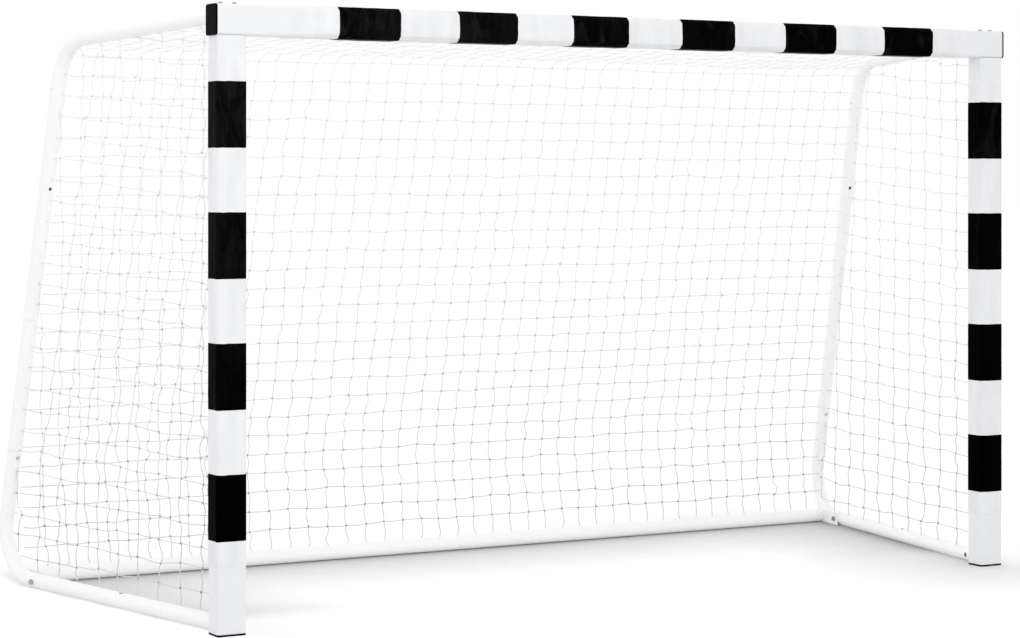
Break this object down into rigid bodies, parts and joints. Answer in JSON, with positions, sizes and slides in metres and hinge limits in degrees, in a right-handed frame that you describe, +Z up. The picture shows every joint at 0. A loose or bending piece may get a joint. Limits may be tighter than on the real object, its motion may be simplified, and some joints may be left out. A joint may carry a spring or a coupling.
{
  "type": "hockey goal net",
  "caption": "Free-standing knock-down goal: white box-section front frame with black and white striped sleeves, bent tube side frames, rear ground bar and hung net.",
  "frame": {"origin": "centre of the goal's bounding box on the ground", "axes": "+X along the crossbar to the right-hand post seen from the front; +Y from the mouth to the back; +Z up"},
  "size_m": [2.7524, 1.079, 1.506],
  "materials": {
    "frame_paint": "gloss white powder coat",
    "sleeve_white": "glossy white film, slightly wrinkled",
    "sleeve_black": "glossy black film, slightly wrinkled",
    "cap_black": "moulded black plastic",
    "zinc": "bright zinc plate",
    "dark_screw": "black oxide",
    "spring_steel": "bright spring steel",
    "hook_white": "moulded white plastic",
    "net_cord": "braided cord, knotted"
  },
  "bodies": {
    "goal_frame": {"crossbar_left": "frame_paint", "crossbar_right": "frame_paint", "post_left": "frame_paint", "post_right": "frame_paint", "post_head_plates": "frame_paint", "top_socket_left": "frame_paint", "top_socket_right": "frame_paint", "ground_socket_left": "frame_paint", "ground_socket_right": "frame_paint", "top_tube_left": "frame_paint", "top_tube_right": "frame_paint", "upright_tube_left": "frame_paint", "upright_tube_right": "frame_paint", "corner_tube_left": "frame_paint", "corner_tube_right": "frame_paint", "rail_tube_left": "frame_paint", "rail_tube_right": "frame_paint", "rear_bar_left": "frame_paint", "rear_bar_right": "frame_paint", "rear_bar_lugs": "frame_paint", "crossbar_joiner": "zinc", "crossbar_bolts": "zinc", "crossbar_nuts": "zinc", "corner_bolts": "zinc", "corner_nuts": "zinc", "rail_bolts": "dark_screw", "end_cap_left": "cap_black", "end_cap_right": "cap_black", "foot_left": "cap_black", "foot_right": "cap_black", "crossbar_sleeve": "sleeve_white", "post_sleeve_left": "sleeve_white", "post_sleeve_right": "sleeve_white", "crossbar_bands": "sleeve_black", "post_bands_left": "sleeve_black", "post_bands_right": "sleeve_black", "snap_springs": "spring_steel", "back_net": "net_cord", "back_net_hem": "net_cord", "roof_net": "net_cord", "side_net_left": "net_cord", "side_net_right": "net_cord", "net_hooks": "hook_white"},
    "left_button": {"snap_button_left": "spring_steel"},
    "right_button": {"snap_button_right": "spring_steel"},
    "bar_button": {"snap_button_bar": "spring_steel"}
  },
  "joints": [
    {"name": "press_left_button", "type": "slide", "parent": "goal_frame", "child": "left_button", "axis": [-0.1859, 0.9563, 0.2259], "range_m": [0, 0.006], "stiffness_N_per_m": 1500, "springref_m": -0.002},
    {"name": "press_right_button", "type": "slide", "parent": "goal_frame", "child": "right_button", "axis": [0.1859, 0.9563, 0.2259], "range_m": [0, 0.006], "stiffness_N_per_m": 1500, "springref_m": -0.002},
    {"name": "press_bar_button", "type": "slide", "parent": "goal_frame", "child": "bar_button", "axis": [0, -1, 0], "range_m": [0, 0.006], "stiffness_N_per_m": 1500, "springref_m": -0.002}
  ]
}
